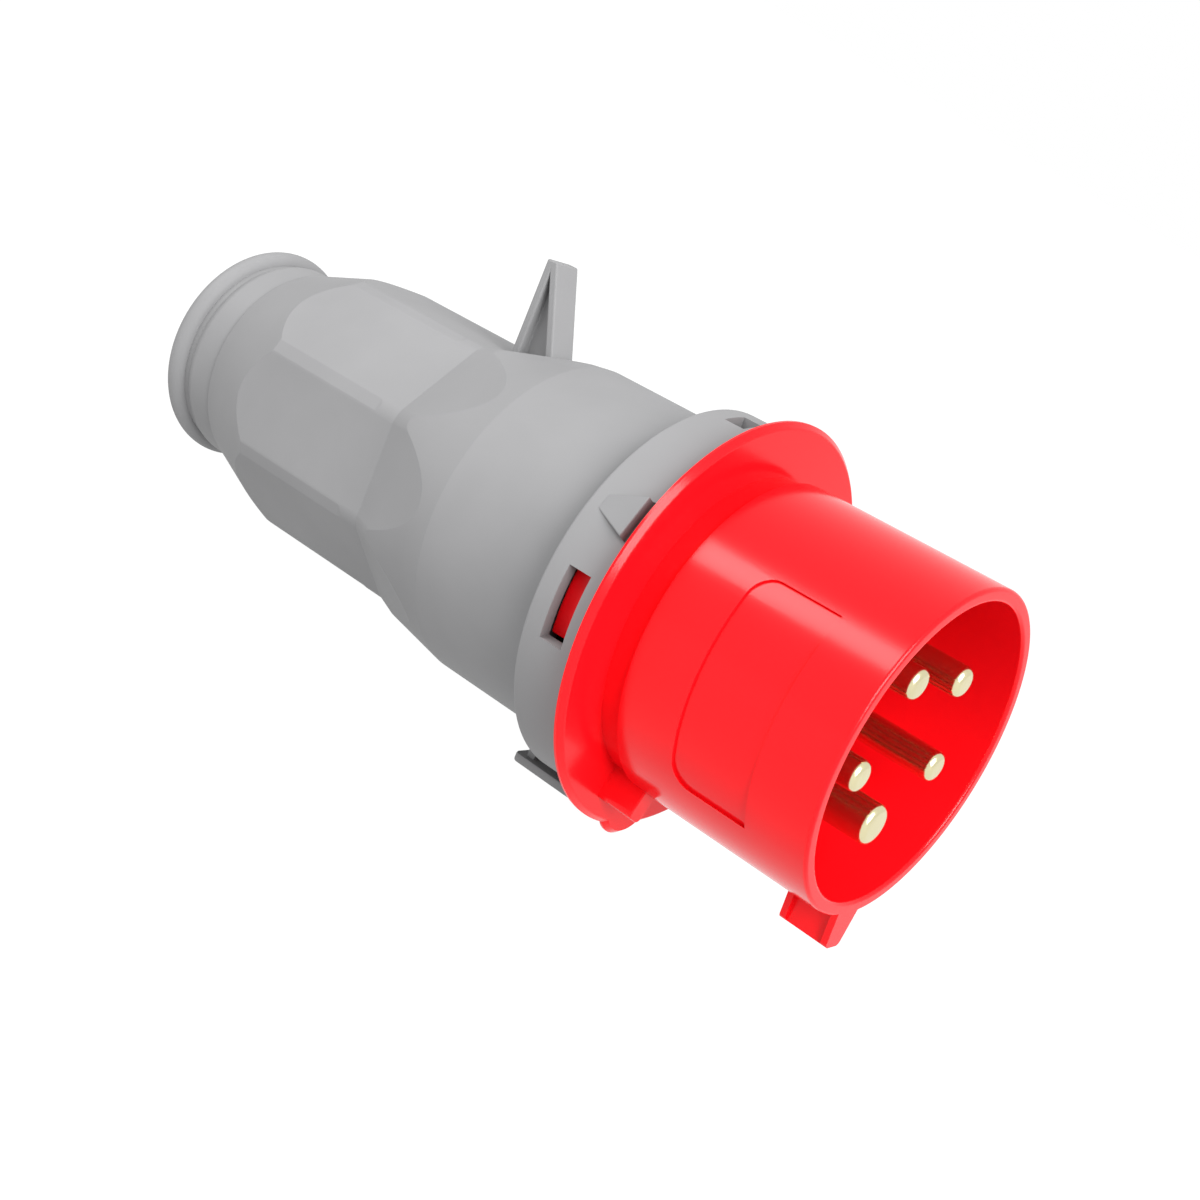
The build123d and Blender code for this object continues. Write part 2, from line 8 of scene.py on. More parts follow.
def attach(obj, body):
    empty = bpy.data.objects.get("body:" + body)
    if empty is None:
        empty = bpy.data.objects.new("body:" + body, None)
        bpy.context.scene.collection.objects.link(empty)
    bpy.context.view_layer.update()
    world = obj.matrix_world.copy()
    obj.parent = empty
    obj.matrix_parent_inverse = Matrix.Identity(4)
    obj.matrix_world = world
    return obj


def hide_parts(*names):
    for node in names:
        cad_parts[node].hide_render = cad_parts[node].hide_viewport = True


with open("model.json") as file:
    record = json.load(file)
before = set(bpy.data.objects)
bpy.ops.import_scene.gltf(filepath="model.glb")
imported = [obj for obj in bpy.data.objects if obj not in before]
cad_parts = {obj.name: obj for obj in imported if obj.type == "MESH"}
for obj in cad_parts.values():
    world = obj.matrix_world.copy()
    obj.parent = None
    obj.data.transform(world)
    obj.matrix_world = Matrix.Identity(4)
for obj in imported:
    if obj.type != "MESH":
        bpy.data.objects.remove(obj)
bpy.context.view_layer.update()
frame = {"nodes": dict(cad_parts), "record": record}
bpy.ops.object.select_all(action="DESELECT")
print("frame loaded")

# Every piece is modelled on the plug's own axis, in millimetres: X runs forward out of the sleeve from
# its rim, and Z is up. The pins in the record give the way the plug lies.
mm = 0.001
pinMounts = [mount for mount in frame["record"]["mounts"] if mount["name"].startswith("pin_")]
pinMiddle = sum((Vector(mount["pos_m"]) for mount in pinMounts), Vector()) / len(pinMounts)
pinMiddleX = -21.55  # the same middle on the plug's own axis
forward = Vector(pinMounts[0]["axis"]).normalized()
across = Vector((0, 1, 0))
upward = forward.cross(across)
plugFrame = Matrix((forward, across, upward)).transposed().to_4x4()
plugFrame.translation = pinMiddle - forward * pinMiddleX * mm


# Shader maths

class Flow:
    # One value in a material. The operators add its Math nodes, and node adds any other.
    def __init__(self, tree, socket):
        self.tree = tree
        self.socket = socket

    def node(self, kind, values, result=0, **settings):
        made = self.tree.nodes.new(kind)
        for name, value in settings.items():
            setattr(made, name, value)
        for name, value in values.items():
            if isinstance(value, Flow):
                self.tree.links.new(value.socket, made.inputs[name])
            else:
                made.inputs[name].default_value = value
        return Flow(self.tree, made.outputs[result])

    def maths(self, operation, *values):
        return self.node("ShaderNodeMath", dict(enumerate(values)), operation=operation)

    def __add__(self, other):
        return self.maths("ADD", self, other)

    def __radd__(self, other):
        return self.maths("ADD", other, self)

    def __sub__(self, other):
        return self.maths("SUBTRACT", self, other)

    def __rsub__(self, other):
        return self.maths("SUBTRACT", other, self)

    def __mul__(self, other):
        return self.maths("MULTIPLY", self, other)

    def __rmul__(self, other):
        return self.maths("MULTIPLY", other, self)

    def ramp(self, low, high):
        return self.node("ShaderNodeMapRange", {"Value": self, "From Min": low, "From Max": high})

    def blend(self, first, second):
        # Mixes two colours: 0, 6 and 7 are the node's factor and colour sockets, and 2 is its colour output
        return self.node("ShaderNodeMix", {0: self, 6: first, 7: second}, result=2, data_type="RGBA")


def newMaterial(name):
    material = bpy.data.materials.new(name)
    material.use_nodes = True
    return material, material.node_tree.nodes["Principled BSDF"]


def objectPlace(material):
    # Where a point lies on its piece, for the textures
    return Flow(material.node_tree, None).node("ShaderNodeTexCoord", {}, result="Object")


def feed(shader, name, value):
    if isinstance(value, Flow):
        value.tree.links.new(value.socket, shader.inputs[name])
    else:
        shader.inputs[name].default_value = value


def noise(place, scale, detail):
    return place.node("ShaderNodeTexNoise", {"Vector": place, "Scale": scale, "Detail": detail})


def bump(height, strength, distance):
    return height.node("ShaderNodeBump", {"Height": height, "Strength": strength, "Distance": distance * mm})


# Modelling by hand, with the values that all pieces share

turnSteps = 144  # steps of a whole turn
roundSteps = 6  # steps of a rounded corner in an outline
softSteps = 2  # steps of a softened edge
barSides = 64  # sides of a round bar
overrun = 1.0  # how far a cutter reaches past what it cuts
sink = 0.5  # how far an added form reaches into what it joins
close = 0.1  # what is nearer than this to a place counts as there
straight = 0.9  # a direction with this share along an axis counts as running along it
sameCorner = 0.02  # how far the corners of an outline may lie from their places
weld = 0.002  # points nearer than this are merged after a turn


def choose(piece):
    # Makes a piece the active one, and the only one that is selected
    bpy.ops.object.select_all(action="DESELECT")
    piece.select_set(True)
    bpy.context.view_layer.objects.active = piece


def openPiece(piece):
    choose(piece)
    bpy.ops.object.mode_set(mode="EDIT")
    bpy.ops.mesh.select_mode(type="VERT")
    bpy.ops.mesh.select_all(action="DESELECT")


def closePiece():
    bpy.ops.object.mode_set(mode="OBJECT")
    bpy.ops.object.select_all(action="DESELECT")


def pick(kind, wanted):
    # Selects each point, edge or face of the open piece whose middle and direction pass the test
    bpy.ops.mesh.select_mode(type=kind)
    mesh = bmesh.from_edit_mesh(bpy.context.object.data)
    if kind == "VERT":
        for point in mesh.verts:
            point.select_set(wanted(point.co, point.normal))
    if kind == "EDGE":
        for edge in mesh.edges:
            first, last = [point.co for point in edge.verts]
            edge.select_set(wanted((first + last) / 2, (last - first).normalized()))
    if kind == "FACE":
        for face in mesh.faces:
            face.select_set(wanted(face.calc_center_median(), face.normal))
    mesh.select_flush_mode()
    bmesh.update_edit_mesh(bpy.context.object.data)


def spun(name, outline, roundings=(), turn=360.0, start=0.0, steps=turnSteps):
    # Turns an outline of (x, radius) corners about the plug's axis, from +Y towards +Z. A rounding is a
    # size and the corners that take it.
    bpy.ops.mesh.primitive_plane_add(size=1.0)
    piece = bpy.context.object
    piece.name = name
    openPiece(piece)
    bpy.ops.mesh.select_all(action="SELECT")
    bpy.ops.mesh.merge(type="CENTER")
    bpy.ops.transform.translate(value=(*outline[0], 0))
    for here, there in zip(outline, outline[1:]):
        move = (there[0] - here[0], there[1] - here[1], 0)
        bpy.ops.mesh.extrude_vertices_move(TRANSFORM_OT_translate={"value": move})
    bpy.ops.mesh.select_all(action="SELECT")
    bpy.ops.mesh.edge_face_add()
    bpy.ops.mesh.delete(type="ONLY_FACE")
    for size, corners in roundings:
        places = [Vector((*corner, 0)) for corner in corners]
        pick("VERT", lambda at, way: any((at - place).length < sameCorner for place in places))
        bpy.ops.mesh.bevel(offset=size, segments=roundSteps, affect="VERTICES", clamp_overlap=False)
    bpy.ops.mesh.select_mode(type="VERT")
    bpy.ops.mesh.select_all(action="SELECT")
    if turn < 360.0:
        bpy.ops.mesh.edge_face_add()
    bpy.ops.mesh.spin(
        steps=round(steps * turn / 360.0), angle=math.radians(turn), center=(0, 0, 0), axis=(-1, 0, 0))
    bpy.ops.mesh.select_all(action="SELECT")
    bpy.ops.mesh.remove_doubles(threshold=weld)
    bpy.ops.mesh.delete_loose()
    bpy.ops.mesh.select_all(action="SELECT")
    bpy.ops.mesh.normals_make_consistent(inside=False)
    closePiece()
    return swung(piece, start)


def swung(piece, angle):
    # Turns a piece about the plug's axis, from +Y towards +Z
    choose(piece)
    bpy.ops.object.transform_apply(location=True, rotation=True, scale=True)
    piece.rotation_euler = (math.radians(angle), 0, 0)
    bpy.ops.object.transform_apply(location=True, rotation=True, scale=True)
    return piece


def block(name, low, high):
    # A box between two corners
    middle = [(a + b) / 2 for a, b in zip(low, high)]
    spans = [abs(b - a) for a, b in zip(low, high)]
    bpy.ops.mesh.primitive_cube_add(size=1.0, location=middle, scale=spans)
    piece = bpy.context.object
    piece.name = name
    return swung(piece, 0)


def rod(name, radius, length, place, turn, sides):
    bpy.ops.mesh.primitive_cylinder_add(
        vertices=sides, radius=radius, depth=length, location=place, rotation=turn)
    piece = bpy.context.object
    piece.name = name
    return swung(piece, 0)


def bar(name, radius, rear, front, y=0.0, z=0.0, sides=barSides):
    # A round bar along the plug
    return rod(name, radius, front - rear, ((rear + front) / 2, y, z), (0, math.pi / 2, 0), sides)


def combine(piece, tool, operation):
    # Adds, cuts or keeps what two shapes share, and uses the second one up
    change = piece.modifiers.new("combine", "BOOLEAN")
    change.operation = operation
    change.object = tool
    change.solver = "EXACT"
    choose(piece)
    bpy.ops.object.modifier_apply(modifier="combine")
    bpy.data.objects.remove(tool)
    return piece


def softenEdges(piece, width, angle):
    # Takes the sharpness off the edges of a finished shape that bend by more than an angle
    change = piece.modifiers.new("soften", "BEVEL")
    change.width = width
    change.segments = softSteps
    change.limit_method = "ANGLE"
    change.angle_limit = math.radians(angle)
    change.harden_normals = False
    choose(piece)
    bpy.ops.object.modifier_apply(modifier="soften")
    return piece


def layDown(piece, material, body, nodes, smooth=30.0):
    # Puts a finished piece in its place on the lying plug, gives it its finish, hides the CAD parts that it
    # replaces and hangs it on its body
    piece.data.transform(plugFrame @ Matrix.Scale(mm, 4))
    piece.data.materials.clear()
    piece.data.materials.append(material)
    choose(piece)
    bpy.ops.object.shade_smooth_by_angle(angle=math.radians(smooth))
    even = piece.modifiers.new("even", "WEIGHTED_NORMAL")
    even.keep_sharp = True
    bpy.ops.object.modifier_apply(modifier="even")
    bpy.ops.object.select_all(action="DESELECT")
    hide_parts(*nodes)
    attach(piece, body)
    print("finished", piece.name, len(piece.data.polygons), "faces")
    return piece


# Finishes

noiseMiddle = 0.5
plastic = {
    "cloudScale": 45.0, "cloudDetail": 3.0, "cloudLow": 0.3, "cloudHigh": 0.7, "light": 1.04, "dark": 0.95,
    "unevenness": 0.05, "grainScale": 900.0, "grainDetail": 4.0, "grainDepth": 0.05,
}
metal = {
    "cloudScale": 160.0, "cloudDetail": 3.0, "cloudLow": 0.3, "cloudHigh": 0.7, "dark": 0.94,
    "unevenness": 0.08, "grainScale": 2500.0, "grainDetail": 3.0, "grain": 0.03, "grainDepth": 0.02,
}


def mouldedPlastic(name, colour, roughness, grain, specular=0.5):
    material, shader = newMaterial(name)
    place = objectPlace(material)
    cloud = noise(place, plastic["cloudScale"], plastic["cloudDetail"])
    fine = noise(place, plastic["grainScale"], plastic["grainDetail"])
    light = [min(1.0, channel * plastic["light"]) for channel in colour] + [1.0]
    dark = [channel * plastic["dark"] for channel in colour] + [1.0]
    feed(shader, "Base Color", cloud.ramp(plastic["cloudLow"], plastic["cloudHigh"]).blend(dark, light))
    feed(shader, "Roughness", roughness + plastic["unevenness"] * (cloud - noiseMiddle))
    feed(shader, "Specular IOR Level", specular)
    feed(shader, "Normal", bump(fine, grain, plastic["grainDepth"]))
    return material


def polishedMetal(name, colour, roughness):
    material, shader = newMaterial(name)
    place = objectPlace(material)
    cloud = noise(place, metal["cloudScale"], metal["cloudDetail"])
    fine = noise(place, metal["grainScale"], metal["grainDetail"])
    light = list(colour) + [1.0]
    dark = [channel * metal["dark"] for channel in colour] + [1.0]
    feed(shader, "Base Color", cloud.ramp(metal["cloudLow"], metal["cloudHigh"]).blend(dark, light))
    feed(shader, "Metallic", 1.0)
    feed(shader, "Roughness", roughness + metal["unevenness"] * (fine - noiseMiddle))
    feed(shader, "Normal", bump(fine, metal["grain"], metal["grainDepth"]))
    return material


finishes = {
    "red_plastic": mouldedPlastic(
        "red glossy plastic", colour=(0.72, 0.0035, 0.007), roughness=0.18, grain=0.02, specular=0.2),
    "grey_plastic": mouldedPlastic(
        "grey satin plastic", colour=(0.19, 0.19, 0.193), roughness=0.6, grain=0.05, specular=0.2),
    "carrier_plastic": mouldedPlastic(
        "black plastic", colour=(0.02, 0.02, 0.021), roughness=0.5, grain=0.08),
    "contact_brass": polishedMetal("nickelled pins", colour=(0.73, 0.67, 0.42), roughness=0.20),
    "screw_steel": polishedMetal("zinc plated steel", colour=(0.62, 0.62, 0.60), roughness=0.3),
    "seal_rubber": mouldedPlastic("black rubber", colour=(0.012, 0.012, 0.012), roughness=0.7, grain=0.15),
    "washer_plastic": mouldedPlastic("white nylon", colour=(0.75, 0.75, 0.70), roughness=0.4, grain=0.05),
}
print("finishes mixed")


# The red sleeve with its flange, key and lug

sleeve = {
    "radius": 32.0, "wall": 2.7, "length": 42.0, "rimRound": 0.7, "endRound": 0.2,
    "neckRadius": 31.0, "neckEnd": -46.5, "flangeEnd": -48.0, "flangeRadius": 41.4, "flangeSlope": 1.0,
    "flangeRound": 0.25, "baseFront": -40.1, "baseRear": -45.1, "baseRound": 1.0, "seatBore": 28.3,
    "skirtRadius": 34.6, "skirtBore": 32.2, "skirtEnd": -51.4, "skirtRound": 0.35,
    "grooveMiddle": -49.7, "grooveHalf": 0.95, "grooveBottom": 33.35,
    "fingerRadius": 34.4, "fingerEnd": -58.0, "fingerHalfAngle": 10.0, "fingerRound": 0.5,
    "lobeAngle": -95.0, "lobeReach": 43.4, "lobeRound": 8.0, "lobeSides": 96,
    "lugAngle": -113.0, "lugReach": 37.4, "lugWidth": 4.5, "lugLength": 8.0, "lugSink": 1.0,
    "lugRound": 1.2, "lugRoundSteps": 5, "lugEndRound": 0.3, "lugEndSteps": 2,
    "keyAngle": -90.0, "keyReach": 38.6, "keyLength": 10.5, "keyRoot": 7.4, "keyTip": 4.8, "keyEnd": 1.3,
    "keyWaist": 0.7, "keyRound": 0.9, "keyRoundSteps": 5,
    "labelRear": -29.3, "labelFront": -13.0, "labelHeight": 39.6, "labelDepth": 0.5, "labelCorner": 4.0,
    "labelCornerSteps": 10,
}
pins = {
    "circle": 15.4, "tip": -2.1, "radius": 3.0, "earthRadius": 4.0, "tipRound": 1.3, "shoulder": 0.4,
    "holeGap": 0.05, "shankEnd": -47.1, "barrelEnd": -64.1, "barrelRadius": 5.2, "barrelRound": 0.25,
    "boreRadius": 2.7, "boreEnd": -52.1, "screwHole": 2.0, "screwPlace": -58.1, "screwHoleSides": 48,
    "steps": 64,
    "angles": {"earth": -90.0, "line_1": -18.0, "line_2": 54.0, "line_3": 126.0, "neutral": 198.0},
}


def pinPlace(angle):
    turn = math.radians(angle)
    return pins["circle"] * math.cos(turn), pins["circle"] * math.sin(turn)


def pinRadius(name):
    return pins["earthRadius"] if name == "earth" else pins["radius"]


def sleeveShell():
    bore = sleeve["radius"] - sleeve["wall"]
    shellEnd = -sleeve["length"]
    slopeFoot = sleeve["flangeRadius"] - sleeve["flangeSlope"]
    grooveFront = sleeve["grooveMiddle"] + sleeve["grooveHalf"]
    grooveRear = sleeve["grooveMiddle"] - sleeve["grooveHalf"]
    outline = [
        (0, bore), (0, sleeve["radius"]), (shellEnd, sleeve["radius"]), (shellEnd, sleeve["neckRadius"]),
        (sleeve["neckEnd"], sleeve["neckRadius"]), (sleeve["neckEnd"], slopeFoot),
        (sleeve["neckEnd"] - sleeve["flangeSlope"], sleeve["flangeRadius"]),
        (sleeve["flangeEnd"], sleeve["flangeRadius"]), (sleeve["flangeEnd"], sleeve["skirtRadius"]),
        (grooveFront, sleeve["skirtRadius"]), (grooveFront, sleeve["grooveBottom"]),
        (grooveRear, sleeve["grooveBottom"]), (grooveRear, sleeve["skirtRadius"]),
        (sleeve["skirtEnd"], sleeve["skirtRadius"]), (sleeve["skirtEnd"], sleeve["skirtBore"]),
        (sleeve["flangeEnd"], sleeve["skirtBore"]), (sleeve["flangeEnd"], sleeve["seatBore"]),
        (sleeve["baseRear"], sleeve["seatBore"]), (sleeve["baseRear"], 0), (sleeve["baseFront"], 0),
        (sleeve["baseFront"], bore)]
    roundings = [
        (sleeve["rimRound"], [(0, bore), (0, sleeve["radius"])]),
        (sleeve["endRound"], [(shellEnd, sleeve["radius"])]),
        (sleeve["skirtRound"], [(sleeve["skirtEnd"], sleeve["skirtRadius"])]),
        (sleeve["flangeRound"], [(sleeve["neckEnd"], slopeFoot)]),
        (sleeve["baseRound"], [(sleeve["baseFront"], bore)])]
    return spun("redSleeve", outline, roundings)


def flangeLobe():
    # The round tongue of the flange that the plug lies on
    middle = sleeve["lobeReach"] - sleeve["lobeRound"]
    turn = math.radians(sleeve["lobeAngle"])
    lobe = bar("lobe", sleeve["lobeRound"], sleeve["flangeEnd"], sleeve["neckEnd"],
               middle * math.cos(turn), middle * math.sin(turn), sleeve["lobeSides"])
    openPiece(lobe)
    pick("EDGE", lambda at, way: abs(at.x - sleeve["neckEnd"]) < close and abs(way.x) < straight)
    bpy.ops.mesh.bevel(offset=sleeve["flangeSlope"], segments=1, affect="EDGES")
    closePiece()
    return lobe


def flangeLug():
    half = sleeve["lugWidth"] / 2
    front = sleeve["neckEnd"] + sleeve["lugLength"]
    root = sleeve["neckRadius"] - sleeve["lugSink"]
    lug = block("lug", (sleeve["neckEnd"] - sink, -half, root), (front, half, sleeve["lugReach"]))
    openPiece(lug)
    pick("EDGE", lambda at, way: at.z > sleeve["lugReach"] - close and abs(way.x) > straight)
    bpy.ops.mesh.bevel(offset=sleeve["lugRound"], segments=sleeve["lugRoundSteps"], affect="EDGES")
    pick("EDGE", lambda at, way: at.x > front - close and at.z > sleeve["neckRadius"])
    bpy.ops.mesh.bevel(offset=sleeve["lugEndRound"], segments=sleeve["lugEndSteps"], affect="EDGES")
    closePiece()
    return swung(lug, sleeve["lugAngle"] - 90)


def keyRib():
    # A rib that narrows outwards, thinner between its two ends
    root = sleeve["radius"] - sleeve["wall"] / 2
    half = sleeve["keyRoot"] / 2
    rib = block("key", (-sleeve["keyLength"], -half, root), (0, half, sleeve["keyReach"]))
    openPiece(rib)
    pick("FACE", lambda at, way: way.z > straight)
    bpy.ops.transform.resize(value=(1, sleeve["keyTip"] / sleeve["keyRoot"], 1))
    pick("EDGE", lambda at, way: at.z > sleeve["keyReach"] - close and abs(way.x) > straight)
    bpy.ops.mesh.bevel(offset=sleeve["keyRound"], segments=sleeve["keyRoundSteps"], affect="EDGES")
    closePiece()
    for side in (-1, 1):
        near = side * (sleeve["keyTip"] / 2 - sleeve["keyWaist"])
        far = side * sleeve["keyRoot"]
        waist = block("waist", (sleeve["keyEnd"] - sleeve["keyLength"], min(near, far), sleeve["radius"]),
                      (-sleeve["keyEnd"], max(near, far), sleeve["keyReach"] + overrun))
        combine(rib, waist, "DIFFERENCE")
    return swung(rib, sleeve["keyAngle"] - 90)


def labelField():
    # A shallow recess on the near side, rounded at its rear corners
    outside = sleeve["radius"] + overrun
    inside = sleeve["radius"] - sleeve["labelDepth"]
    half = sleeve["labelHeight"] / 2
    rear = sleeve["labelRear"]
    front = sleeve["labelFront"]
    band = spun("band", [(rear, outside), (rear, inside), (front, inside), (front, outside)])
    field = block("field", (rear, -2 * sleeve["radius"], -half), (front + sleeve["labelCorner"], 0, half))
    openPiece(field)
    pick("EDGE", lambda at, way: abs(way.y) > straight)
    bpy.ops.mesh.bevel(offset=sleeve["labelCorner"], segments=sleeve["labelCornerSteps"], affect="EDGES")
    closePiece()
    return combine(band, field, "INTERSECT")


def snapFinger(angle):
    front = sleeve["flangeEnd"] + sink
    rear = sleeve["fingerEnd"]
    outside = sleeve["fingerRadius"]
    inside = sleeve["skirtBore"]
    return spun("finger", [(front, inside), (front, outside), (rear, outside), (rear, inside)],
                [(sleeve["fingerRound"], [(rear, outside)])],
                turn=2 * sleeve["fingerHalfAngle"], start=angle - sleeve["fingerHalfAngle"])


def sleevePiece():
    piece = sleeveShell()
    for extra in (flangeLobe(), flangeLug(), keyRib()):
        combine(piece, extra, "UNION")
    for angle in (0.0, 180.0):
        combine(piece, snapFinger(angle), "UNION")
    combine(piece, labelField(), "DIFFERENCE")
    for name, angle in pins["angles"].items():
        hole = bar("hole", pinRadius(name) + pins["shoulder"] + pins["holeGap"],
                   sleeve["baseRear"] - overrun, sleeve["baseFront"] + overrun, *pinPlace(angle))
        combine(piece, hole, "DIFFERENCE")
    return piece


layDown(sleevePiece(), finishes["red_plastic"], "plug_front", ["contact_sleeve"])


# The pins

def pinPattern(name, radius):
    # One pin at the top of the circle
    shank = radius + pins["shoulder"]
    base = sleeve["baseFront"]
    tip = (pins["tip"], radius)
    barrelFront = (pins["shankEnd"], pins["barrelRadius"])
    barrelRear = (pins["barrelEnd"], pins["barrelRadius"])
    boreMouth = (pins["barrelEnd"], pins["boreRadius"])
    outline = [
        (pins["tip"], 0), tip, (base, radius), (base, shank), (pins["shankEnd"], shank), barrelFront,
        barrelRear, boreMouth, (pins["boreEnd"], pins["boreRadius"]), (pins["boreEnd"], 0)]
    piece = spun(name, outline, [
        (pins["tipRound"], [tip]), (pins["barrelRound"], [barrelRear, boreMouth, barrelFront])],
        steps=pins["steps"])
    hole = rod("screw hole", pins["screwHole"], 2 * pins["barrelRadius"],
               (pins["screwPlace"], 0, pins["barrelRadius"]), (0, 0, 0), pins["screwHoleSides"])
    combine(piece, hole, "DIFFERENCE")
    piece.data.transform(Matrix.Translation((0, 0, pins["circle"])))
    return piece


def copyOf(pattern, name):
    # Another piece like the first, with a mesh of its own
    choose(pattern)
    bpy.ops.object.duplicate(linked=False)
    piece = bpy.context.object
    piece.name = name
    return piece


linePattern = pinPattern("linePattern", pins["radius"])
earthPattern = pinPattern("earthPattern", pins["earthRadius"])
for pinName, pinAngle in pins["angles"].items():
    pattern = earthPattern if pinName == "earth" else linePattern
    piece = swung(copyOf(pattern, "brightPin_" + pinName), pinAngle - 90)
    layDown(piece, finishes["contact_brass"], "plug_front", ["pin_" + pinName])
for pattern in (linePattern, earthPattern):
    bpy.data.objects.remove(pattern)


# The grey housing

housing = {
    "front": -48.3, "collarRadius": 38.0, "collarEnd": -61.5, "collarBore": 35.5, "collarFloor": 2.5,
    "collarRound": 0.6, "bodyRadius": 33.4, "bodyEnd": -92.0, "wall": 2.6, "coneEnd": -119.0,
    "gripRadius": 29.3, "gripApothem": 27.6, "gripSides": 8, "gripEdge": 5.0, "gripEdgeSteps": 12,
    "gripEnd": -149.5, "tailEnd": -168.6, "tailRadius": 23.0, "tailRound": 0.3,
    "spigotRadius": 19.0, "spigotBore": 16.2, "spigotEnd": -178.5, "seatBore": 13.2, "seatThick": 2.6,
    "flatFront": -113.5, "facetTip": -94.0, "facetRunOut": -87.0, "wideStep": 0.01, "wideScale": 2,
    "wideFront": 20,
    "sideWindow": (-52.3, -57.3, 10.5), "topWindow": (-53.0, -57.4, 4.75), "topWindowAngle": 99.5,
    "latchHalf": 11.3, "pocket": -36.6, "smooth": 4.5,
}


def housingOutside():
    collarFront = (housing["front"], housing["collarRadius"])
    collarRear = (housing["collarEnd"], housing["collarRadius"])
    bodyFront = (housing["collarEnd"], housing["bodyRadius"])
    tailEdge = (housing["tailEnd"], housing["tailRadius"])
    spigotEdge = (housing["spigotEnd"], housing["spigotRadius"])
    outline = [
        (housing["front"], 0), collarFront, collarRear, bodyFront,
        (housing["bodyEnd"], housing["bodyRadius"]), (housing["coneEnd"], housing["gripRadius"]),
        (housing["gripEnd"], housing["gripRadius"]), tailEdge,
        (housing["tailEnd"], housing["spigotRadius"]), spigotEdge, (housing["spigotEnd"], 0)]
    return spun("housingShell", outline, [
        (housing["collarRound"], [collarFront, collarRear, bodyFront]),
        (housing["tailRound"], [spigotEdge, tailEdge])])


def facetedEnvelope():
    # Eight flats with rounded corners that flare out in front, where they meet the round body
    apothem = housing["gripApothem"]
    halfSide = math.pi / housing["gripSides"]
    envelope = bar("envelope", apothem / math.cos(halfSide), housing["spigotEnd"] - overrun,
                   housing["flatFront"], sides=housing["gripSides"])
    swung(envelope, 180.0 / housing["gripSides"])
    flare = (housing["bodyRadius"] - apothem) / (housing["facetTip"] - housing["flatFront"])
    flareLength = housing["facetRunOut"] - housing["flatFront"]
    widening = (apothem + flare * flareLength) / apothem
    openPiece(envelope)
    pick("FACE", lambda at, way: way.x > straight)
    bpy.ops.mesh.extrude_region_move(TRANSFORM_OT_translate={"value": (flareLength, 0, 0)})
    bpy.ops.transform.resize(value=(1, widening, widening))
    pick("EDGE", lambda at, way: abs(way.x) > straight)
    bpy.ops.mesh.bevel(
        offset=housing["gripEdge"] * math.tan(halfSide), segments=housing["gripEdgeSteps"], affect="EDGES")
    # A stretch wider than the collar follows, so that the flats end there
    pick("FACE", lambda at, way: way.x > straight)
    bpy.ops.mesh.extrude_region_move(TRANSFORM_OT_translate={"value": (housing["wideStep"], 0, 0)})
    bpy.ops.transform.resize(value=(1, housing["wideScale"], housing["wideScale"]))
    wideLength = housing["wideFront"] - housing["facetRunOut"]
    bpy.ops.mesh.extrude_region_move(TRANSFORM_OT_translate={"value": (wideLength, 0, 0)})
    closePiece()
    return envelope


def housingHollow():
    mouth = housing["front"] + overrun
    step = housing["collarEnd"] + housing["collarFloor"]
    bodyBore = housing["bodyRadius"] - housing["wall"]
    gripBore = housing["gripApothem"] - housing["wall"]
    seat = housing["tailEnd"] + housing["seatThick"]
    rear = housing["spigotEnd"] - overrun
    return spun("hollow", [
        (mouth, 0), (mouth, housing["collarBore"]), (step, housing["collarBore"]), (step, bodyBore),
        (housing["bodyEnd"], bodyBore), (housing["coneEnd"], gripBore), (housing["gripEnd"], gripBore),
        (seat, housing["spigotBore"]), (seat, housing["seatBore"]),
        (housing["tailEnd"], housing["seatBore"]), (housing["tailEnd"], housing["spigotBore"]),
        (rear, housing["spigotBore"]), (rear, 0)])


fin = {
    "rear": -112.3, "tipLength": 2.5, "baseLength": 9.8, "height": 47.9, "baseHeight": 31.0, "foot": 28.0,
    "width": 7.0, "frame": 1.7, "web": 2.4, "merge": 0.01, "edgeRound": 0.3, "edgeAngle": 30.0,
}


def finPiece():
    # A leaning plate with a three-cornered hollow in each of its two faces, which leaves a web
    half = fin["width"] / 2
    slope = (fin["baseLength"] - fin["tipLength"]) / (fin["height"] - fin["baseHeight"])
    footLength = fin["tipLength"] + slope * (fin["height"] - fin["foot"])
    plate = block("fin", (fin["rear"], -half, fin["foot"]), (fin["rear"] + footLength, half, fin["height"]))
    openPiece(plate)
    pick("VERT", lambda at, way: at.z > fin["height"] - close and at.x > fin["rear"] + close)
    bpy.ops.transform.translate(value=(fin["tipLength"] - footLength, 0, 0))
    closePiece()
    frontFrame = fin["frame"] * math.hypot(1, slope)
    peak = fin["height"] - (fin["frame"] + frontFrame - fin["tipLength"]) / slope
    hollowRear = fin["rear"] + fin["frame"]
    hollowFront = fin["rear"] + footLength - frontFrame + slope * overrun
    for side in (-1, 1):
        near = side * fin["web"] / 2
        far = side * (half + overrun)
        hollow = block("hollow", (hollowRear, min(near, far), fin["foot"] - overrun),
                       (hollowFront, max(near, far), peak))
        openPiece(hollow)
        pick("VERT", lambda at, way: at.z > peak - close and at.x > hollowFront - close)
        bpy.ops.transform.translate(value=(hollowRear - hollowFront, 0, 0))
        bpy.ops.mesh.select_all(action="SELECT")
        bpy.ops.mesh.remove_doubles(threshold=fin["merge"])
        closePiece()
        combine(plate, hollow, "DIFFERENCE")
    return softenEdges(plate, fin["edgeRound"], fin["edgeAngle"])


pointer = {
    "angle": 151.0, "front": -50.8, "rear": -58.8, "frontWidth": 8.6, "rearWidth": 3.0, "rise": 1.6,
    "root": 1.2, "slot": 0.8, "slotDepth": 0.8, "edgeRound": 0.25, "edgeAngle": 20.0,
}


